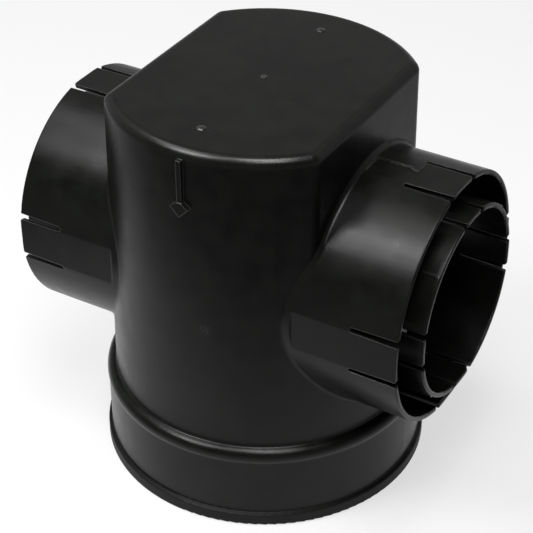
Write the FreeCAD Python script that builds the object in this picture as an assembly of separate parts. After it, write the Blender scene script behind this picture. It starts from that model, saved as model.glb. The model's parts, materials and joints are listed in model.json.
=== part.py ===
import FreeCAD, Part
import math
import os

from FreeCAD import Vector

# Catch basin moulded in one piece, in millimetres. It stands on its mouth with the closed end up.
# The origin is the centre of the mouth on the ground, +Z is up and the two outlets face +X and -X.

# Mouth: the open end, a socket for a grate or a riser pipe
RISER_RADIUS = 79.7
RISER_CLEARANCE = 0.3
MOUTH_DEPTH = 43.0
MOUTH_LEAD_IN = 0.8
LIP_PROJECTION = 1.9
LIP_HEIGHT = 7.0
LIP_ROUND = 1.0
LIP_FILLET = 0.5

# Wall of the mouth, the body and the closed end
WALL = 2.5

# Shoulder: a rounded bead where the skirt of the mouth draws in to the body
BEAD_PROJECTION = 0.55
BEAD_DROP = 1.3
SHOULDER_STEP = 4.2
SHOULDER_FILLET = 1.2

# Body: a tapered tube with a closed end, and one flat above each outlet
BODY_DRAFT = 0.77
END_LIFT = 27.0
END_CORNER = 2.4
FLAT_INSET = 18.75
FLAT_CORNER = 4.0

# Outlets: the outer collar takes the large pipe, and the inner collar takes the small one
LARGE_PIPE_RADIUS = 59.7
SMALL_PIPE_RADIUS = 45.4
PIPE_CLEARANCE = 0.4
COLLAR_WALL = 2.5
COLLAR_LIFT = 14.5
OUTER_LENGTH = 47.7
INNER_PROUD = 6.6
RIM_ROUND = 0.7
JUNCTION_ROUND = 2.6

# Locking tabs: a flat strip with a slit on each side, several times round every collar
TAB_COUNT = 4
SLIT_ANGLE = 10.6
SLIT_LENGTH = 24.6
SLIT_ROOT_WIDTH = 2.4
SLIT_MOUTH_WIDTH = 3.3
SLIT_CORNER = 0.9
STRIP_MARGIN = 1.0
TAB_GRIP = 0.7

# Centring ribs on the outside of each inner collar, midway between the tabs
RIB_WIDTH = 1.2
RIB_RISE = 0.5

# Seam along the top of each outer collar: the strip is flat on one side of it and round on the other
SEAM_OFFSET = 2.7
SEAM_STEP = 1.5
SEAM_STEP_LENGTH = 3.3
SEAM_OVERLAP = 1.5

# Flow arrow on the front of the body, pointing down at the mouth
ARROW_OFFSET = 2.0
ARROW_DROP = 4.6
ARROW_LENGTH = 29.0
ARROW_BAR_WIDTH = 2.6
ARROW_BAR_RELIEF = 1.8
ARROW_HEAD_WIDTH = 9.6
ARROW_HEAD_LENGTH = 7.4
ARROW_HEAD_RELIEF = 2.5

# Marks on the closed end: two ejector nubs and the gate at the centre
NUB_INSET = 20.85
NUB_RADIUS = 2.4
NUB_RISE = 0.9
GATE_RADIUS = 1.5
GATE_RISE = 0.3

# Overlap that carries a cut or a joined feature clean through the face that it starts from
OVERRUN = 3.0
# How near an edge lies to a size that it belongs to
MATCH = 0.01

X_AXIS = Vector(1, 0, 0)
Z_AXIS = Vector(0, 0, 1)

SOCKET_RADIUS = RISER_RADIUS + RISER_CLEARANCE
SKIRT_RADIUS = SOCKET_RADIUS + WALL
LIP_RADIUS = SKIRT_RADIUS + LIP_PROJECTION
BEAD_RADIUS = SKIRT_RADIUS + BEAD_PROJECTION
BEAD_HEIGHT = MOUTH_DEPTH - BEAD_DROP
LARGE_BORE = LARGE_PIPE_RADIUS + PIPE_CLEARANCE
SMALL_BORE = SMALL_PIPE_RADIUS + PIPE_CLEARANCE
OUTER_RADIUS = LARGE_BORE + COLLAR_WALL
INNER_RADIUS = SMALL_BORE + COLLAR_WALL
OUTLET_HEIGHT = BEAD_HEIGHT + COLLAR_LIFT + OUTER_RADIUS
OUTLET_CENTRE = Vector(0, 0, OUTLET_HEIGHT)
BODY_HEIGHT = OUTLET_HEIGHT + OUTER_RADIUS + END_LIFT
SHOULDER_RADIUS = SKIRT_RADIUS - SHOULDER_STEP
BODY_TAPER = math.tan(math.radians(BODY_DRAFT))
BODY_TOP_RADIUS = SHOULDER_RADIUS - (BODY_HEIGHT - BEAD_HEIGHT) * BODY_TAPER
FLAT_DISTANCE = BODY_TOP_RADIUS - FLAT_INSET
OUTER_REACH = FLAT_DISTANCE + OUTER_LENGTH
INNER_REACH = OUTER_REACH + INNER_PROUD
COLLAR_ROUND = min(RIM_ROUND, COLLAR_WALL / 3)
STRIP_ANGLE = SLIT_ANGLE - STRIP_MARGIN
COLLARS = (
    (LARGE_BORE, OUTER_RADIUS, OUTER_REACH),
    (SMALL_BORE, INNER_RADIUS, INNER_REACH),
)


def body_radius(z):
    """Outside radius of the tapered body at a height."""
    return SHOULDER_RADIUS + (BEAD_HEIGHT - z) * BODY_TAPER


def cylinder_x(radius, reach):
    """Solid cylinder along the outlet axis, reaching equally far to both sides."""
    return Part.makeCylinder(radius, 2 * reach, OUTLET_CENTRE - X_AXIS * reach, X_AXIS)


def on_circle(centre, radius, angle):
    """Point of the upright half section on a circle, at an angle up from level, in degrees."""
    turn = math.radians(angle)
    return centre + Vector(math.cos(turn), 0, math.sin(turn)) * radius


def outline_face(steps):
    """Face inside a closed outline that starts and ends at its last step, which is a point.

    A step is a point that a line runs to, or a pair of points that an arc runs through and to.
    """
    edges = []
    last = steps[-1]
    for step in steps:
        if isinstance(step, tuple):
            through, end = step
            edges.append(Part.Arc(last, through, end).toShape())
        else:
            end = step
            edges.append(Part.makeLine(last, end))
        last = end
    return Part.Face(Part.Wire(edges))


def half_section():
    """Half section of the outside: lip, skirt, shoulder bead, tapered body and closed end."""
    low_lip = Vector(LIP_RADIUS - LIP_ROUND, 0, LIP_ROUND)
    high_lip = Vector(LIP_RADIUS - LIP_ROUND, 0, LIP_HEIGHT - LIP_ROUND)
    groove = Vector(SKIRT_RADIUS + LIP_FILLET, 0, LIP_HEIGHT + LIP_FILLET)
    bead = Vector(SHOULDER_RADIUS, 0, BEAD_HEIGHT)
    roll = BEAD_RADIUS - SHOULDER_RADIUS
    bead_foot = BEAD_HEIGHT - math.sqrt(roll ** 2 - SHOULDER_STEP ** 2)
    clear = roll + SHOULDER_FILLET
    lean = 90 + BODY_DRAFT - math.degrees(math.asin(SHOULDER_FILLET / clear))
    hollow = on_circle(bead, clear, lean)
    return outline_face([
        Vector(low_lip.x, 0, 0),
        (on_circle(low_lip, LIP_ROUND, -45), on_circle(low_lip, LIP_ROUND, 0)),
        on_circle(high_lip, LIP_ROUND, 0),
        (on_circle(high_lip, LIP_ROUND, 45), on_circle(high_lip, LIP_ROUND, 90)),
        on_circle(groove, LIP_FILLET, 270),
        (on_circle(groove, LIP_FILLET, 225), on_circle(groove, LIP_FILLET, 180)),
        Vector(SKIRT_RADIUS, 0, bead_foot),
        (on_circle(bead, roll, 0), on_circle(bead, roll, lean)),
        (on_circle(hollow, SHOULDER_FILLET, 180 + (lean + BODY_DRAFT) / 2),
         on_circle(hollow, SHOULDER_FILLET, 180 + BODY_DRAFT)),
        Vector(BODY_TOP_RADIUS, 0, BODY_HEIGHT),
        Vector(0, 0, BODY_HEIGHT),
        Vector(),
    ])


def cut_flats(solid, inset):
    """Cut the flats of the closed end down to the outlet axis, below which the body stays round."""
    distance = FLAT_DISTANCE - inset
    size = 2 * LIP_RADIUS
    for start in (distance, -distance - size):
        corner = Vector(start, -size / 2, OUTLET_HEIGHT - inset)
        solid = solid.cut(Part.makeBox(size, size, BODY_HEIGHT, corner))
    return solid


def tapered_body(inset):
    """Tapered tube of the body as a full solid with both flats, moved in by an inset all over."""
    top = BODY_HEIGHT - inset
    return cut_flats(Part.makeCone(body_radius(0) - inset, body_radius(top) - inset, top), inset)


def round_flats(solid, inset):
    """Round the upright edges of the flats, then the edge round the closed end."""
    top = BODY_HEIGHT - inset
    added = WALL - inset
    upright = []
    for edge in solid.Edges:
        on_flat = abs(abs(edge.CenterOfMass.x) - FLAT_DISTANCE + inset) < MATCH
        if on_flat and edge.BoundBox.ZLength > (top - OUTLET_HEIGHT) / 2:
            upright.append(edge)
    solid = solid.makeFillet(FLAT_CORNER + added, upright)
    rim = [edge for edge in solid.Edges if edge.BoundBox.ZMin > top - MATCH]
    return solid.makeFillet(END_CORNER + added, rim)


def outside():
    """Outside of the mouth, shoulder, body and closed end as one full solid."""
    return round_flats(cut_flats(half_section().revolve(Vector(), Z_AXIS, 360), 0), 0)


def cavity():
    """Space inside the body and the mouth socket, one wall thickness in from the outside."""
    socket = Part.makeCylinder(SOCKET_RADIUS, MOUTH_DEPTH)
    lead_in = Part.makeCone(SOCKET_RADIUS + MOUTH_LEAD_IN, SOCKET_RADIUS, MOUTH_LEAD_IN)
    return round_flats(tapered_body(WALL), WALL).fuse([socket, lead_in])


def junction(solid):
    """Edges where the outer collars leave the body."""
    edges = []
    for edge in solid.Edges:
        middle = edge.valueAt((edge.FirstParameter + edge.LastParameter) / 2)
        from_axis = math.hypot(middle.y, middle.z - OUTLET_HEIGHT)
        at_foot = abs(from_axis - OUTER_RADIUS) < MATCH and abs(middle.x) < OUTER_REACH - MATCH
        if at_foot and not isinstance(edge.Curve, Part.Line):
            edges.append(edge)
    return edges


def add_outlets(body):
    """Put both collars of both outlets on the body, with an open gap between them."""
    joined = body.fuse(cylinder_x(OUTER_RADIUS, OUTER_REACH))
    joined = joined.makeFillet(JUNCTION_ROUND, junction(joined))
    gap = cylinder_x(LARGE_BORE, OUTER_REACH + OVERRUN).cut(body)
    solid = joined.cut(gap).fuse(cylinder_x(INNER_RADIUS, INNER_REACH))
    return solid.cut(cylinder_x(SMALL_BORE, INNER_REACH + OVERRUN))


def rim_edges(solid, radius, reach):
    """Circular edges of one radius at the free ends of a collar."""
    edges = []
    for edge in solid.Edges:
        if not isinstance(edge.Curve, Part.Circle):
            continue
        at_end = abs(abs(edge.Curve.Center.x) - reach) < MATCH
        if at_end and abs(edge.Curve.Radius - radius) < MATCH:
            edges.append(edge)
    return edges


def round_rims(solid):
    """Round the edges at the free ends of all the collars."""
    edges = []
    for bore, radius, reach in COLLARS:
        edges += rim_edges(solid, bore, reach) + rim_edges(solid, radius, reach)
    return solid.makeFillet(COLLAR_ROUND, edges)


def around_outlets(tool, angles):
    """Copies of a tool made at the top of the +X outlet, turned to each angle and repeated on -X."""
    copies = []
    for angle in angles:
        turned = tool.copy()
        turned.rotate(OUTLET_CENTRE, X_AXIS, angle)
        opposite = turned.copy()
        opposite.rotate(Vector(), Z_AXIS, 180)
        copies += [turned, opposite]
    return copies


def tab_angles(offsets):
    """Angles of every tab round a collar, each with the given offsets from the tab's middle."""
    pitch = 360 / TAB_COUNT
    return [tab * pitch + offset for tab in range(TAB_COUNT) for offset in offsets]


def bar_at_top(start, end, width, low, high, offset=0):
    """Bar along the top of the +X outlet, between two distances from the outlet axis."""
    corner = Vector(start, offset - width / 2, OUTLET_HEIGHT + low)
    return Part.makeBox(end - start, width, high - low, corner)


def strip_cutter(radius, reach):
    """What is shaved off a round collar to leave the flat strip that carries a tab."""
    flat = radius * math.cos(math.radians(STRIP_ANGLE))
    half_width = radius * math.sin(math.radians(STRIP_ANGLE)) + OVERRUN
    return bar_at_top(0, reach + OVERRUN, 2 * half_width, flat, radius + OVERRUN)


def slit_cutter(bore, radius, reach):
    """Tapered slit with a round root and rounded corners at the rim, cut through one collar wall."""
    level = OUTLET_HEIGHT + bore - OVERRUN
    root = reach - SLIT_LENGTH
    narrow = SLIT_ROOT_WIDTH / 2
    wide = SLIT_MOUTH_WIDTH / 2
    flare = wide + SLIT_CORNER
    bend = SLIT_CORNER * (1 - math.sqrt(0.5))
    outline = outline_face([
        (Vector(root, 0, level), Vector(root + narrow, narrow, level)),
        Vector(reach - SLIT_CORNER, wide, level),
        (Vector(reach - bend, wide + bend, level), Vector(reach, flare, level)),
        Vector(reach + OVERRUN, flare, level),
        Vector(reach + OVERRUN, -flare, level),
        Vector(reach, -flare, level),
        (Vector(reach - bend, -wide - bend, level), Vector(reach - SLIT_CORNER, -wide, level)),
        Vector(root + narrow, -narrow, level),
    ])
    return outline.extrude(Z_AXIS * (radius - bore + 2 * OVERRUN))


def round_half():
    """Space over the part of the top strip that stays round, behind a seam that steps aside near the tab."""
    end = OUTER_REACH - SLIT_LENGTH + SEAM_OVERLAP
    step = end - SEAM_STEP_LENGTH
    high = OUTER_RADIUS + 2 * OVERRUN
    middle = SEAM_OFFSET + OUTER_RADIUS / 2
    long_side = bar_at_top(0, step, OUTER_RADIUS, LARGE_BORE, high, middle)
    short_side = bar_at_top(step, end, OUTER_RADIUS, LARGE_BORE, high, middle - SEAM_STEP)
    return long_side.fuse(short_side)


def cut_tabs(solid):
    """Flatten the strips and cut the slits that free the locking tabs of every collar.

    The strips stop where the rounding at the foot of the collar begins, and one side of the top strip of
    each outer collar stays round.
    """
    kept = [tapered_body(-JUNCTION_ROUND)] + around_outlets(round_half(), [0])
    slit_angles = tab_angles([-SLIT_ANGLE, SLIT_ANGLE])
    cutters = []
    for bore, radius, reach in COLLARS:
        strips = around_outlets(strip_cutter(radius, reach), tab_angles([0]))
        cutters += [strip.cut(kept) for strip in strips]
        cutters += around_outlets(slit_cutter(bore, radius, reach), slit_angles)
    return solid.cut(cutters)


def grip_pads():
    """Flat pads inside the tabs of the outer collars that press into the pipe."""
    root = OUTER_REACH - SLIT_LENGTH
    rim = OUTER_REACH - COLLAR_ROUND
    width = 2 * LARGE_BORE * math.sin(math.radians(STRIP_ANGLE))
    pad = bar_at_top(root, rim, width, LARGE_BORE - TAB_GRIP, LARGE_BORE + COLLAR_WALL / 2)
    return around_outlets(pad, tab_angles([0]))


def centring_ribs():
    """Small ribs along the outside of the inner collars, midway between the tabs."""
    root = INNER_REACH - SLIT_LENGTH
    rim = INNER_REACH - COLLAR_ROUND
    rib = bar_at_top(root, rim, RIB_WIDTH, INNER_RADIUS - COLLAR_WALL / 2, INNER_RADIUS + RIB_RISE)
    return around_outlets(rib, tab_angles([180 / TAB_COUNT]))


def arrow():
    """Raised arrow on the front of the body: a bar, and a head that stands out further."""
    top = BODY_HEIGHT - ARROW_DROP
    tip = top - ARROW_LENGTH
    shoulder = tip + ARROW_HEAD_LENGTH
    barb = tip + ARROW_HEAD_WIDTH / 2
    half_bar = ARROW_BAR_WIDTH / 2
    half_head = ARROW_HEAD_WIDTH / 2
    bar = [(-half_bar, top), (half_bar, top), (half_bar, barb), (-half_bar, barb)]
    head = [(-half_bar, shoulder), (half_bar, shoulder), (half_head, barb), (0, tip), (-half_head, barb)]
    back = BODY_TOP_RADIUS - WALL
    face = body_radius(barb)
    solids = []
    for outline, relief in ((bar, ARROW_BAR_RELIEF), (head, ARROW_HEAD_RELIEF)):
        corners = [Vector(ARROW_OFFSET + x, -back, z) for x, z in outline]
        solids.append(outline_face(corners).extrude(Vector(0, back - face - relief, 0)))
    return solids


def dome(x, y, radius, rise):
    """Low round bump on the closed end."""
    sphere = (radius ** 2 + rise ** 2) / (2 * rise)
    return Part.makeSphere(sphere, Vector(x, y, BODY_HEIGHT + rise - sphere))


def end_marks():
    """The two ejector nubs and the gate mark on the closed end."""
    reach = BODY_TOP_RADIUS - NUB_INSET
    nubs = [dome(0, side * reach, NUB_RADIUS, NUB_RISE) for side in (1, -1)]
    gate = Part.makeCylinder(GATE_RADIUS, GATE_RISE + WALL / 2, Vector(0, 0, BODY_HEIGHT - WALL / 2))
    return nubs + [gate]


def basin_body():
    """The whole moulding as one solid."""
    solid = round_rims(add_outlets(outside())).fuse(grip_pads())
    solid = cut_tabs(solid).fuse(centring_ribs() + arrow() + end_marks())
    return solid.cut(cavity()).removeSplitter().Solids[0]


def main():
    """Build the basin and write it out."""
    os.makedirs("parts", exist_ok=True)
    basin_body().exportStep("parts/basin_body.step")


main()
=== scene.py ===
"""A catch basin moulded in black polyethylene, standing on its mouth in a plain studio.

Lengths are in metres and angles in degrees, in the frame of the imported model: +Z is up, the two outlets
lie along X and the flow arrow is on the -Y side.
"""
import json
import logging
import math
from dataclasses import dataclass, field
from enum import Enum

import bpy
import numpy as np
from mathutils import Matrix, Vector

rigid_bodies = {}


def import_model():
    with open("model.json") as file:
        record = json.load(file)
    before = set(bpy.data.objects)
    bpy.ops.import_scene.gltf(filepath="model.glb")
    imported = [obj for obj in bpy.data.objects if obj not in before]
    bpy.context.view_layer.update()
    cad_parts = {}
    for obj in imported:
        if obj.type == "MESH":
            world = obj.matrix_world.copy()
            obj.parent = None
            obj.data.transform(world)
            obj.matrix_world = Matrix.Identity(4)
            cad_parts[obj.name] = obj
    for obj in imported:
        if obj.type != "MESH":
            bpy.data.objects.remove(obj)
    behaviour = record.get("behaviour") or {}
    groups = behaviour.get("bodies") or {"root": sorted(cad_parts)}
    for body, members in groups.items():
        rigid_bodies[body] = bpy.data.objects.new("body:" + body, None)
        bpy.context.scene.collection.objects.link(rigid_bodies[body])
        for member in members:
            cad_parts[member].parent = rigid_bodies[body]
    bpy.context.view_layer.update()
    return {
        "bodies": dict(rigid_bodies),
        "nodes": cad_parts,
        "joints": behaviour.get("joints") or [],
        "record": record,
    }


LOG = logging.getLogger("catch_basin")

Colour = tuple[float, float, float]
Point = tuple[float, float, float]
Socket = bpy.types.NodeSocket

WHITE: Colour = (1.0, 1.0, 1.0)
ZERO: Point = (0.0, 0.0, 0.0)
NOISE_MEAN = 0.5
# The Mix node's sockets for colours, by number: two of its inputs and one of its outputs.
FIRST_COLOUR, SECOND_COLOUR, MIXED_COLOUR = 6, 7, 2


class Node(Enum):
    """Shader nodes that the finishes are made of."""

    BACKGROUND = "ShaderNodeBackground"
    BEVEL = "ShaderNodeBevel"
    BUMP = "ShaderNodeBump"
    COMBINE = "ShaderNodeCombineXYZ"
    COORDINATES = "ShaderNodeTexCoord"
    DIFFUSE = "ShaderNodeBsdfDiffuse"
    EMISSION = "ShaderNodeEmission"
    GEOMETRY = "ShaderNodeNewGeometry"
    LIGHT_PATH = "ShaderNodeLightPath"
    MAPPING = "ShaderNodeMapping"
    MAP_RANGE = "ShaderNodeMapRange"
    MATH = "ShaderNodeMath"
    MATERIAL_OUTPUT = "ShaderNodeOutputMaterial"
    MIX_COLOUR = "ShaderNodeMix"
    MIX_SHADER = "ShaderNodeMixShader"
    NOISE = "ShaderNodeTexNoise"
    PLASTIC = "ShaderNodeBsdfPrincipled"
    SEPARATE = "ShaderNodeSeparateXYZ"
    TRANSPARENT = "ShaderNodeBsdfTransparent"
    VECTOR_MATH = "ShaderNodeVectorMath"
    WORLD_OUTPUT = "ShaderNodeOutputWorld"


class Sum(Enum):
    """What a Math node does with its numbers."""

    ABSOLUTE = "ABSOLUTE"
    ADD = "ADD"
    DIVIDE = "DIVIDE"
    MAXIMUM = "MAXIMUM"
    MINIMUM = "MINIMUM"
    MULTIPLY = "MULTIPLY"
    POWER = "POWER"
    SUBTRACT = "SUBTRACT"


class VectorSum(Enum):
    """What a Vector Math node does with its vectors."""

    DISTANCE = "DISTANCE"
    DOT_PRODUCT = "DOT_PRODUCT"
    LENGTH = "LENGTH"
    NORMALIZE = "NORMALIZE"
    SUBTRACT = "SUBTRACT"


@dataclass(frozen=True)
class Span:
    """A stretch of a number, upward or downward, over which something comes in."""

    start: float
    end: float


@dataclass(frozen=True)
class Band:
    """A range of a number with soft ends: something comes in over one span and goes over the other."""

    comes: Span
    goes: Span


@dataclass(frozen=True)
class Pattern:
    """Noise of one size: how often it repeats in a unit of its place, and how many finer layers it has."""

    scale: float
    detail: float


@dataclass(frozen=True)
class Relief:
    """A fine relief of the surface: how strong and how deep it is, and whether it is cut in."""

    strength: float
    depth: float
    cut: bool = False


def opaque(colour: Colour) -> tuple[float, float, float, float]:
    """A colour with full cover, as a node's socket takes it."""
    return (*colour, 1.0)


class Graph:
    """A node tree that is filled one node at a time."""

    def __init__(self, tree: bpy.types.NodeTree) -> None:
        """Empty the tree and keep it."""
        self.tree = tree
        tree.nodes.clear()

    def add(
        self, kind: Node, inputs: dict[str | int, object] | None = None, **settings: object
    ) -> bpy.types.Node:
        """Add a node, set its own properties and fill its inputs.

        Args:
            kind: Which node to add.
            inputs: A value or an output socket for each input, by the input's name or number.
            settings: Properties of the node itself, such as a Math node's operation.

        Returns:
            The new node.
        """
        node = self.tree.nodes.new(kind.value)
        for name, value in settings.items():
            setattr(node, name, value)
        for key, value in (inputs or {}).items():
            socket = node.inputs[key]
            if isinstance(value, Socket):
                self.tree.links.new(value, socket)
            else:
                socket.default_value = value
        return node

    def number(self, operation: Sum, first: object, second: object = 0.0) -> Socket:
        """The result of a sum on two numbers, each a value or a socket."""
        return self.add(Node.MATH, {0: first, 1: second}, operation=operation.value).outputs[0]

    def size(self, value: object) -> Socket:
        """A number without its sign."""
        return self.number(Sum.ABSOLUTE, value)

    def plus(self, first: object, second: object) -> Socket:
        """Two numbers added."""
        return self.number(Sum.ADD, first, second)

    def minus(self, first: object, second: object) -> Socket:
        """The second number taken from the first."""
        return self.number(Sum.SUBTRACT, first, second)

    def times(self, first: object, second: object) -> Socket:
        """Two numbers multiplied."""
        return self.number(Sum.MULTIPLY, first, second)

    def over(self, first: object, second: object) -> Socket:
        """The first number divided by the second."""
        return self.number(Sum.DIVIDE, first, second)

    def power(self, first: object, second: object) -> Socket:
        """The first number to the power of the second."""
        return self.number(Sum.POWER, first, second)

    def mean(self, first: object, second: object) -> Socket:
        """The mean of two numbers."""
        return self.times(self.plus(first, second), 0.5)

    def larger(self, first: object, second: object) -> Socket:
        """The larger of two numbers."""
        return self.number(Sum.MAXIMUM, first, second)

    def smaller(self, first: object, second: object) -> Socket:
        """The smaller of two numbers."""
        return self.number(Sum.MINIMUM, first, second)

    def toward(self, value: Socket, goal: float, share: Socket) -> Socket:
        """A number moved towards a goal by a share of the way."""
        return self.plus(value, self.times(self.minus(goal, value), share))

    def remap(self, value: object, span: Span, start: float = 0.0, end: float = 1.0) -> Socket:
        """Stretch a number smoothly from a span onto other numbers, and hold it beyond the span.

        Args:
            value: The number's socket.
            span: The stretch of the number that counts.
            start: The result at the span's start.
            end: The result at the span's end.

        Returns:
            The stretched number.
        """
        inputs = {
            "Value": value, "From Min": span.start, "From Max": span.end, "To Min": start, "To Max": end,
        }
        return self.add(Node.MAP_RANGE, inputs, interpolation_type="SMOOTHSTEP").outputs["Result"]

    def band(self, value: object, band: Band) -> Socket:
        """One inside a band and zero outside it, with soft ends."""
        return self.times(self.remap(value, band.comes), self.remap(value, band.goes))

    def vectors(self, operation: VectorSum, first: object, second: object = ZERO) -> bpy.types.Node:
        """Put two vectors, each a value or a socket, through a Vector Math node and return it."""
        return self.add(Node.VECTOR_MATH, {0: first, 1: second}, operation=operation.value)

    def distance(self, place: Socket, centre: Point) -> Socket:
        """How far a place is from a fixed point."""
        return self.vectors(VectorSum.DISTANCE, place, centre).outputs["Value"]

    def dot(self, first: Socket, second: object) -> Socket:
        """How much two vectors point the same way, as their dot product."""
        return self.vectors(VectorSum.DOT_PRODUCT, first, second).outputs["Value"]

    def length(self, vector: Socket) -> Socket:
        """How long a vector is."""
        return self.vectors(VectorSum.LENGTH, vector).outputs["Value"]

    def heading(self, vector: Socket) -> Socket:
        """A vector's direction, with a length of one."""
        return self.vectors(VectorSum.NORMALIZE, vector).outputs["Vector"]

    def offset(self, place: Socket, centre: Point) -> Socket:
        """The way from a fixed point to a place."""
        return self.vectors(VectorSum.SUBTRACT, place, centre).outputs["Vector"]

    def join(self, x: object, y: object, z: object = 0.0) -> Socket:
        """A vector made of three numbers."""
        return self.add(Node.COMBINE, {0: x, 1: y, 2: z}).outputs[0]

    def split(self, vector: Socket) -> tuple[Socket, Socket, Socket]:
        """The three parts of a vector."""
        x, y, z = self.add(Node.SEPARATE, {0: vector}).outputs
        return x, y, z

    def noise(self, place: Socket, pattern: Pattern) -> Socket:
        """Noise of a pattern over a place, as a number round its mean of one half."""
        inputs = {"Vector": place, "Scale": pattern.scale, "Detail": pattern.detail}
        return self.add(Node.NOISE, inputs).outputs["Fac"]

    def stretch(self, place: Socket, units: Point, turn: Point = ZERO) -> Socket:
        """Turn a place, and measure it along each axis in that axis's own unit.

        Args:
            place: Object coordinates.
            units: The length that counts as one along each axis.
            turn: The turn about each axis, in degrees.

        Returns:
            The place in its new measure.
        """
        angles = tuple(math.radians(angle) for angle in turn)
        inputs = {"Vector": place, "Rotation": angles, "Scale": units}
        return self.add(Node.MAPPING, inputs, vector_type="TEXTURE").outputs["Vector"]

    def blend(self, share: Socket, first: object, second: object) -> Socket:
        """Mix two colours, each with its cover or a socket, by the share of the second."""
        inputs = {"Factor": share, FIRST_COLOUR: first, SECOND_COLOUR: second}
        return self.add(Node.MIX_COLOUR, inputs, data_type="RGBA").outputs[MIXED_COLOUR]

    def relief(self, height: Socket, normal: Socket, relief: Relief) -> Socket:
        """Lay a fine relief over a surface.

        Args:
            height: How high the relief is at each place, from zero to one.
            normal: The surface's direction before it.
            relief: How strong and deep it is.

        Returns:
            The surface's direction with the relief.
        """
        inputs = {
            "Height": height, "Normal": normal, "Strength": relief.strength, "Distance": relief.depth,
        }
        return self.add(Node.BUMP, inputs, invert=relief.cut).outputs["Normal"]


@dataclass(frozen=True)
class SharpEdges:
    """The moulding's sharp edges, which are rounded a little."""

    radius: float = 0.0008
    samples: int = 8
    turned: Span = Span(0.98, 0.85)

    def rounded(self, graph: Graph) -> Socket:
        """The surface's direction, with the sharp edges rounded."""
        return graph.add(Node.BEVEL, {"Radius": self.radius}, samples=self.samples).outputs["Normal"]

    def mask(self, graph: Graph, rounded: Socket) -> Socket:
        """One on sharp edges, where the rounded direction leaves the true one, and zero elsewhere."""
        true = graph.add(Node.GEOMETRY).outputs["Normal"]
        return graph.remap(graph.dot(rounded, true), self.turned)


@dataclass(frozen=True)
class DrawMarks:
    """Faint lines left by drawing the moulding out of its mould."""

    width: float = 0.0009
    length: float = 0.0600
    pattern: Pattern = Pattern(1.0, 3.0)
    collar: Span = Span(0.0650, 0.0670)

    def mask(self, graph: Graph, place: Socket) -> Socket:
        """Work out the lines: noise drawn out along Z on the body and along X on the collars.

        Args:
            graph: The material's nodes.
            place: Object coordinates.

        Returns:
            A number round one half.
        """
        upright = graph.noise(graph.stretch(place, (self.width, self.width, self.length)), self.pattern)
        along = graph.noise(graph.stretch(place, (self.length, self.width, self.width)), self.pattern)
        collar = graph.remap(graph.size(graph.split(place)[0]), self.collar)
        return graph.plus(graph.times(graph.minus(1.0, collar), upright), graph.times(collar, along))


@dataclass(frozen=True)
class FlowLines:
    """Streaks that run out from the gate in the middle of the closed end."""

    drift: float = 14.0
    pattern: Pattern = Pattern(7.0, 4.0)
    end: Span = Span(0.2074, 0.2080)

    def mask(self, graph: Graph, place: Socket) -> Socket:
        """Work out the streaks: noise over the direction from the gate, which drifts with the distance.

        Args:
            graph: The material's nodes.
            place: Object coordinates.

        Returns:
            A number round zero, which is zero below the end.
        """
        x, y, z = graph.split(place)
        flat = graph.join(x, y)
        across, along, _ = graph.split(graph.heading(flat))
        spread = graph.join(across, along, graph.times(graph.length(flat), self.drift))
        streaks = graph.minus(graph.noise(spread, self.pattern), NOISE_MEAN)
        return graph.times(streaks, graph.remap(z, self.end))


@dataclass(frozen=True)
class Scratches:
    """Thin straight scratches in one direction: the share sets how much of the noise counts as one."""

    turn: Point
    share: float
    core: float = 0.2
    width: float = 0.0016
    length: float = 0.0260
    pattern: Pattern = Pattern(1.0, 2.0)

    def mask(self, graph: Graph, place: Socket) -> Socket:
        """Work out the scratches: the lines where drawn-out noise passes its mean.

        Args:
            graph: The material's nodes.
            place: Object coordinates.

        Returns:
            One on a scratch and zero beside it.
        """
        drawn = graph.stretch(place, (self.width, self.width, self.length), self.turn)
        away = graph.size(graph.minus(graph.noise(drawn, self.pattern), NOISE_MEAN))
        return graph.remap(away, Span(self.share, self.core * self.share))


@dataclass(frozen=True)
class Scuffs:
    """Fine scratches in two directions, in scattered patches only."""

    first: Scratches = Scratches((28.0, 40.0, 0.0), 0.010)
    second: Scratches = Scratches((-50.0, 15.0, 30.0), 0.008)
    pattern: Pattern = Pattern(34.0, 2.0)
    patch: Span = Span(0.56, 0.70)

    def mask(self, graph: Graph, place: Socket) -> Socket:
        """Work out the scuffs: the scratches of both directions, where broad noise is high.

        Args:
            graph: The material's nodes.
            place: Object coordinates.

        Returns:
            One on a scuff and zero beside it.
        """
        patches = graph.remap(graph.noise(place, self.pattern), self.patch)
        lines = graph.larger(self.first.mask(graph, place), self.second.mask(graph, place))
        return graph.times(patches, lines)


@dataclass(frozen=True)
class Rub:
    """A place where the moulding was rubbed in handling."""

    centre: Point
    radius: float
    scratches: Scratches
    core: float = 0.25
    haze: float = 0.12

    def mask(self, graph: Graph, place: Socket) -> Socket:
        """Work out the place: a soft round patch of a thin haze and scratches.

        Args:
            graph: The material's nodes.
            place: Object coordinates.

        Returns:
            About one on the scratches, a little between them, and zero outside the patch.
        """
        patch = graph.remap(graph.distance(place, self.centre), Span(self.radius, self.core * self.radius))
        return graph.times(patch, graph.plus(self.scratches.mask(graph, place), self.haze))


RUBS = (
    Rub((-0.0673, -0.0427, 0.1646), 0.0075, Scratches((35.0, 0.0, 20.0), 0.035)),
    Rub((0.0125, -0.0763, 0.1138), 0.0040, Scratches((0.0, 25.0, 0.0), 0.035)),
)


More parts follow.
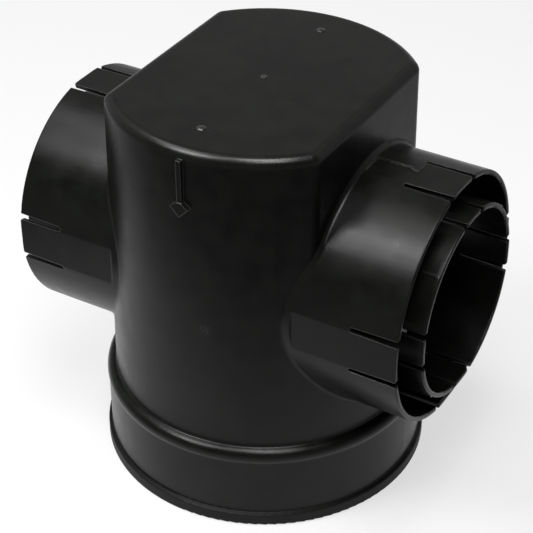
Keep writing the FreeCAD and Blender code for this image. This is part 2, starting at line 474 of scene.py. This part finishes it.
@dataclass(frozen=True)
class Polish:
    """What handling has polished: sharp edges, the nubs, the edge of the closed end and the bead."""

    rim: Band = Band(Span(0.2056, 0.2062), Span(0.2084, 0.2080))
    rim_share: float = 0.2
    bead: Band = Band(Span(0.0375, 0.0390), Span(0.0475, 0.0455))
    bead_radius: Span = Span(0.0784, 0.0794)
    bead_share: float = 0.04
    nubs: Span = Span(0.2085, 0.2087)
    above_lip: Span = Span(0.0085, 0.0105)

    def mask(self, graph: Graph, place: Socket, edge: Socket) -> Socket:
        """Work out the polish.

        The edge of the closed end is a band of heights, the bead is a band of heights outside the wall,
        the nubs stand above the end, and sharp edges count above the lip.

        Args:
            graph: The material's nodes.
            place: Object coordinates.
            edge: One on sharp edges.

        Returns:
            One where the plastic is fully polished and zero where it isn't.
        """
        x, y, z = graph.split(place)
        rim = graph.times(graph.band(z, self.rim), self.rim_share)
        outside = graph.remap(graph.length(graph.join(x, y)), self.bead_radius)
        bead = graph.times(graph.band(z, self.bead), outside)
        bands = graph.plus(rim, graph.times(bead, self.bead_share))
        worn = graph.times(edge, graph.remap(z, self.above_lip))
        return graph.larger(graph.larger(bands, graph.remap(z, self.nubs)), worn)


@dataclass(frozen=True)
class Traces:
    """The sockets of what shows on the plastic, which its colour, roughness and relief share."""

    place: Socket
    rounded: Socket
    edge: Socket
    marks: Socket
    flow: Socket
    scuffs: Socket
    rubbed: Socket
    mottle: Socket


@dataclass(frozen=True)
class BlackPolyethylene:
    """Satin black moulded plastic with draw marks, flow lines, fine scuffs and burnished edges, painted
    paler on the sharp edges: partly worn plastic, partly a painted highlight.
    """

    name: str = "black_polyethylene"
    colour: Colour = (0.0021, 0.0025, 0.0019)
    cloudy_colour: Colour = (0.0040, 0.0048, 0.0036)
    # Paler colour of the sharp edges: partly worn plastic, partly a painted highlight along the edges.
    worn_and_highlit_edge_colour: Colour = (0.0260, 0.0268, 0.0258)
    rub_colour: Colour = (0.0300, 0.0310, 0.0305)
    cloud: Span = Span(0.36, 0.64)
    flow_cloud: float = 1.6
    # How much of the worn, painted-highlight edge colour shows on sharp edges.
    worn_and_highlit_edge_cover: float = 0.9
    scuff_cover: float = 0.25

    specular: float = 0.175
    coat_roughness: float = 0.24
    roughness: float = 0.31
    uneven: Span = Span(0.3, 0.7)
    mottle_roughness: float = 0.03
    fine_roughness: float = 0.010
    mark_roughness: float = 0.10
    flow_roughness: float = 0.10
    scuff_roughness: float = 0.04
    rub_roughness: float = 0.50
    edge_roughness: float = 0.22
    lip_roughness: float = 0.55
    lip: Span = Span(0.0085, 0.0065)

    mottle: Pattern = Pattern(95.0, 4.0)
    clouding: Pattern = Pattern(24.0, 2.0)
    fine: Pattern = Pattern(330.0, 4.0)
    wave: Pattern = Pattern(38.0, 1.0)
    grain: Pattern = Pattern(1900.0, 3.0)
    wave_relief: Relief = Relief(0.5, 0.0004)
    mark_relief: Relief = Relief(0.4, 0.00003)
    grain_relief: Relief = Relief(0.3, 0.00004)
    scuff_relief: Relief = Relief(0.2, 0.00002, cut=True)

    edges: SharpEdges = SharpEdges()
    marks: DrawMarks = DrawMarks()
    flow: FlowLines = FlowLines()
    scuffs: Scuffs = Scuffs()
    rubs: tuple[Rub, ...] = RUBS
    polish: Polish = Polish()

    def traces(self, graph: Graph) -> Traces:
        """Work out everything that shows on the plastic.

        Args:
            graph: The material's nodes.

        Returns:
            The sockets of the traces.
        """
        place = graph.add(Node.COORDINATES).outputs["Object"]
        rounded = self.edges.rounded(graph)
        rubbed: object = 0.0
        for rub in self.rubs:
            rubbed = graph.plus(rubbed, rub.mask(graph, place))
        return Traces(
            place=place,
            rounded=rounded,
            edge=self.edges.mask(graph, rounded),
            marks=self.marks.mask(graph, place),
            flow=self.flow.mask(graph, place),
            scuffs=self.scuffs.mask(graph, place),
            rubbed=graph.smaller(rubbed, 1.0),
            mottle=graph.noise(place, self.mottle),
        )

    def base_colour(self, graph: Graph, traces: Traces) -> Socket:
        """Work out the colour: clouded black, paler on sharp edges as wear and a painted highlight, and
        paler on scuffs and rubbed places.

        Args:
            graph: The material's nodes.
            traces: What shows on the plastic.

        Returns:
            The colour.
        """
        broad = graph.mean(traces.mottle, graph.noise(traces.place, self.clouding))
        cloud = graph.plus(graph.remap(broad, self.cloud), graph.times(traces.flow, self.flow_cloud))
        colour = graph.blend(cloud, opaque(self.colour), opaque(self.cloudy_colour))
        # Sharp edges painted paler: partly wear, partly a painted highlight along the edges.
        colour = graph.blend(graph.times(traces.edge, self.worn_and_highlit_edge_cover), colour, opaque(self.worn_and_highlit_edge_colour))
        colour = graph.blend(graph.times(traces.scuffs, self.scuff_cover), colour, opaque(self.rub_colour))
        return graph.blend(traces.rubbed, colour, opaque(self.rub_colour))

    def sheen(self, graph: Graph, traces: Traces) -> Socket:
        """Work out the roughness: uneven satin, smoother on edges and duller on rubs and the lip.

        Args:
            graph: The material's nodes.
            traces: What shows on the plastic.

        Returns:
            The roughness.
        """
        fine = graph.noise(traces.place, self.fine)
        drawn = graph.minus(traces.marks, NOISE_MEAN)
        parts = (
            graph.remap(traces.mottle, self.uneven, -self.mottle_roughness, self.mottle_roughness),
            graph.remap(fine, self.uneven, -self.fine_roughness, self.fine_roughness),
            graph.times(drawn, self.mark_roughness),
            graph.times(traces.flow, self.flow_roughness),
            graph.times(traces.scuffs, self.scuff_roughness),
        )
        rough: object = self.roughness
        for part in parts:
            rough = graph.plus(rough, part)
        rough = graph.toward(rough, self.rub_roughness, traces.rubbed)
        rough = graph.toward(rough, self.edge_roughness, traces.edge)
        lip = graph.remap(graph.split(traces.place)[2], self.lip)
        return graph.toward(rough, self.lip_roughness, lip)

    def surface(self, graph: Graph, traces: Traces) -> Socket:
        """Work out the surface's direction: rounded edges, a slow wave, draw marks, grain and scuffs.

        Args:
            graph: The material's nodes.
            traces: What shows on the plastic.

        Returns:
            The surface's direction.
        """
        normal = graph.relief(graph.noise(traces.place, self.wave), traces.rounded, self.wave_relief)
        normal = graph.relief(traces.marks, normal, self.mark_relief)
        normal = graph.relief(graph.noise(traces.place, self.grain), normal, self.grain_relief)
        return graph.relief(traces.scuffs, normal, self.scuff_relief)

    def material(self) -> bpy.types.Material:
        """Build the finish as a node material.

        Returns:
            The material, ready for a material slot.
        """
        material = bpy.data.materials.new(self.name)
        material.use_nodes = True
        graph = Graph(material.node_tree)
        traces = self.traces(graph)
        plastic = graph.add(Node.PLASTIC, {
            "Base Color": self.base_colour(graph, traces),
            "Roughness": self.sheen(graph, traces),
            "Normal": self.surface(graph, traces),
            "Specular IOR Level": self.specular,
            "Coat Weight": self.polish.mask(graph, traces.place, traces.edge),
            "Coat Roughness": self.coat_roughness,
        })
        graph.add(Node.MATERIAL_OUTPUT, {"Surface": plastic.outputs["BSDF"]})
        return material


@dataclass(frozen=True)
class StudioPaper:
    """White paper of the floor: it keeps a soft shadow, and fades out round its edge."""

    name: str = "studio_paper"
    colour: Colour = (0.66, 0.66, 0.66)
    shadow_share: float = 0.36
    centre: Point = (-0.152, 0.192, 0.0)
    along: Point = (-0.509, 0.861, 0.0)
    across: Point = (0.861, 0.509, 0.0)
    half_length: float = 0.36
    half_width: float = 0.25
    widening: float = 0.167
    squareness: float = 4.0
    fade: Span = Span(1.0, 1.6)

    def reach(self, graph: Graph) -> Socket:
        """How far out a place lies on the sheet, which is one at the edge of its full white.

        The sheet is a rounded trapezium that widens away from the camera: the shares of its half length and
        of its half width are raised to a power and added, and the root of the sum is taken.

        Args:
            graph: The material's nodes.

        Returns:
            The reach, which is zero in the middle.
        """
        offset = graph.offset(graph.add(Node.COORDINATES).outputs["Object"], self.centre)
        ahead, aside = graph.dot(offset, self.along), graph.dot(offset, self.across)
        width = graph.plus(graph.times(ahead, self.widening), self.half_width)
        shares = (graph.over(ahead, self.half_length), graph.over(aside, width))
        powers = [graph.power(graph.size(share), self.squareness) for share in shares]
        return graph.power(graph.plus(*powers), 1.0 / self.squareness)

    def material(self) -> bpy.types.Material:
        """Build the paper as a node material.

        Camera, glossy and transmission rays all see it lifted to white by the same share.

        Returns:
            The material, ready for a material slot.
        """
        material = bpy.data.materials.new(self.name)
        material.use_nodes = True
        graph = Graph(material.node_tree)
        paper = graph.add(Node.DIFFUSE, {"Color": opaque(self.colour)})
        glow = graph.add(Node.EMISSION, {"Color": opaque(WHITE), "Strength": 1.0})
        rays = graph.add(Node.LIGHT_PATH).outputs
        seen = graph.larger(rays["Is Camera Ray"], rays["Is Glossy Ray"])
        seen = graph.larger(seen, rays["Is Transmission Ray"])
        lifted = graph.times(seen, 1.0 - self.shadow_share)
        sheet = graph.add(Node.MIX_SHADER, {0: lifted, 1: paper.outputs[0], 2: glow.outputs[0]})
        clear = graph.add(Node.TRANSPARENT)
        faded = graph.remap(self.reach(graph), self.fade)
        mix = graph.add(Node.MIX_SHADER, {0: faded, 1: sheet.outputs[0], 2: clear.outputs[0]})
        graph.add(Node.MATERIAL_OUTPUT, {"Surface": mix.outputs[0]})
        return material


@dataclass
class BasinBody:
    """The one moulding of the basin: its solid comes with the frame and gets its finish here."""

    node: str = "basin_body"
    finish: BlackPolyethylene = field(default_factory=BlackPolyethylene)

    def dress(self, frame: dict) -> bpy.types.Object:
        """Put the plastic on the moulding.

        Args:
            frame: The loaded frame.

        Returns:
            The moulding's object.
        """
        body = frame["nodes"][self.node]
        body.data.materials.clear()
        body.data.materials.append(self.finish.material())
        return body


@dataclass
class StudioFloor:
    """A round sheet of paper under the basin, most of it beside and behind."""

    name: str = "studio_floor"
    radius: float = 0.76
    rings: int = 12
    spokes: int = 96
    finish: StudioPaper = field(default_factory=StudioPaper)

    def surface(self) -> tuple[np.ndarray, list[list[int]]]:
        """Work out the sheet as a level polar grid: a distance and an angle from its middle, with z at 0.

        Returns:
            The grid's points, and the corners of each of its faces.
        """
        away = np.linspace(0.0, self.radius, self.rings + 1)[1:]
        angle = np.linspace(0.0, 2.0 * np.pi, self.spokes, endpoint=False)
        distance, turn = np.meshgrid(away, angle, indexing="ij")
        offset = np.stack([distance * np.cos(turn), distance * np.sin(turn), np.zeros_like(turn)], axis=-1)
        points = np.vstack([np.zeros((1, 3)), offset.reshape(-1, 3)]) + np.array(self.finish.centre)
        number = 1 + np.arange(self.rings * self.spokes).reshape(self.rings, self.spokes)
        after = np.roll(number, -1, axis=1)
        bands = np.stack([number[:-1], number[1:], after[1:], after[:-1]], axis=-1).reshape(-1, 4)
        middle = np.stack([np.zeros(self.spokes, int), number[0], after[0]], axis=-1)
        return points, [*middle.tolist(), *bands.tolist()]

    def build(self) -> bpy.types.Object:
        """Make the floor.

        Returns:
            The floor's object.
        """
        points, faces = self.surface()
        mesh = bpy.data.meshes.new(self.name)
        mesh.from_pydata(points.tolist(), [], faces)
        mesh.materials.append(self.finish.material())
        floor = bpy.data.objects.new(self.name, mesh)
        bpy.context.scene.collection.objects.link(floor)
        return floor


@dataclass(frozen=True)
class Softbox:
    """A rectangular lamp that faces the middle of the basin, with its power in watts."""

    name: str
    azimuth: float
    elevation: float
    width: float
    height: float
    power: float
    distance: float = 1.3
    target: Point = (0.0, 0.0, 0.11)

    def build(self) -> bpy.types.Object:
        """Make the lamp.

        Its azimuth is measured from -Y towards +X and its elevation from the level.

        Returns:
            The lamp's object.
        """
        lamp = bpy.data.lights.new(self.name, "AREA")
        lamp.shape = "RECTANGLE"
        lamp.size = self.width
        lamp.size_y = self.height
        lamp.energy = self.power
        turn, tilt = math.radians(self.azimuth), math.radians(self.elevation)
        away = Vector((math.sin(turn) * math.cos(tilt), -math.cos(turn) * math.cos(tilt), math.sin(tilt)))
        box = bpy.data.objects.new(self.name, lamp)
        box.location = Vector(self.target) + self.distance * away
        box.rotation_euler = (-away).to_track_quat("-Z", "Y").to_euler()
        bpy.context.scene.collection.objects.link(box)
        return box


SOFTBOXES = (
    Softbox("key_softbox", azimuth=-37.0, elevation=55.0, width=0.38, height=0.50, power=12.0),
    Softbox("side_softbox", azimuth=-76.0, elevation=62.0, width=0.46, height=0.40, power=3.4),
    Softbox("top_softbox", azimuth=28.0, elevation=79.0, width=0.38, height=0.32, power=8.6),
    Softbox("front_softbox", azimuth=36.0, elevation=61.0, width=0.36, height=0.30, power=5.6),
)


@dataclass(frozen=True)
class StudioAir:
    """The room round the sheet: pale behind the basin and along the horizon, and dim elsewhere."""

    name: str = "studio_air"
    pale: float = 0.41
    dim: float = 0.09
    behind: Point = (-0.51, 0.86, 0.0)
    wall: Span = Span(-0.35, 0.55)
    horizon: Band = Band(Span(-0.50, -0.34), Span(0.40, 0.10))

    def build(self) -> bpy.types.World:
        """Make the world and give it to the scene.

        Its strength goes smoothly from dim to pale with the part of a direction that points behind, and
        with the part that points up, in a band along the horizon.

        Returns:
            The world.
        """
        world = bpy.data.worlds.new(self.name)
        world.use_nodes = True
        graph = Graph(world.node_tree)
        look = graph.add(Node.COORDINATES).outputs["Generated"]
        wall = graph.remap(graph.dot(look, self.behind), self.wall)
        horizon = graph.band(graph.split(look)[2], self.horizon)
        share = graph.larger(wall, horizon)
        strength = graph.plus(self.dim, graph.times(share, self.pale - self.dim))
        air = graph.add(Node.BACKGROUND, {"Color": opaque(WHITE), "Strength": strength})
        graph.add(Node.WORLD_OUTPUT, {"Surface": air.outputs[0]})
        bpy.context.scene.world = world
        return world


@dataclass(frozen=True)
class PhotoCamera:
    """The camera of the photograph, found from the outline of the basin, with its lens in millimetres."""

    name: str = "photo_camera"
    place: Point = (0.34970, -0.58935, 0.58082)
    azimuth: float = 30.619
    elevation: float = 35.093
    roll: float = -0.266
    lens: float = 111.270
    sensor: float = 36.0

    def build(self) -> bpy.types.Object:
        """Make the camera and give it to the scene.

        Returns:
            The camera's object.
        """
        data = bpy.data.cameras.new(self.name)
        data.lens = self.lens
        data.sensor_width = self.sensor
        camera = bpy.data.objects.new(self.name, data)
        tilt = Matrix.Rotation(math.radians(90.0 - self.elevation), 4, "X")
        turn = Matrix.Rotation(math.radians(self.azimuth), 4, "Z")
        roll = Matrix.Rotation(math.radians(self.roll), 4, "Z")
        camera.matrix_world = Matrix.Translation(self.place) @ turn @ tilt @ roll
        bpy.context.scene.collection.objects.link(camera)
        bpy.context.scene.camera = camera
        return camera


def main() -> None:
    """Build the scene in order: the basin, the floor, the light and the camera."""
    logging.basicConfig(level=logging.INFO, format="%(name)s: %(message)s")
    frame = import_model()
    body = BasinBody().dress(frame)
    LOG.info("dressed %s", body.name)
    floor = StudioFloor().build()
    LOG.info("laid %s", floor.name)
    for softbox in SOFTBOXES:
        LOG.info("hung %s", softbox.build().name)
    LOG.info("filled %s", StudioAir().build().name)
    LOG.info("placed %s", PhotoCamera().build().name)
    bpy.context.scene.view_settings.view_transform = "Standard"


if __name__ == "__main__":
    main()
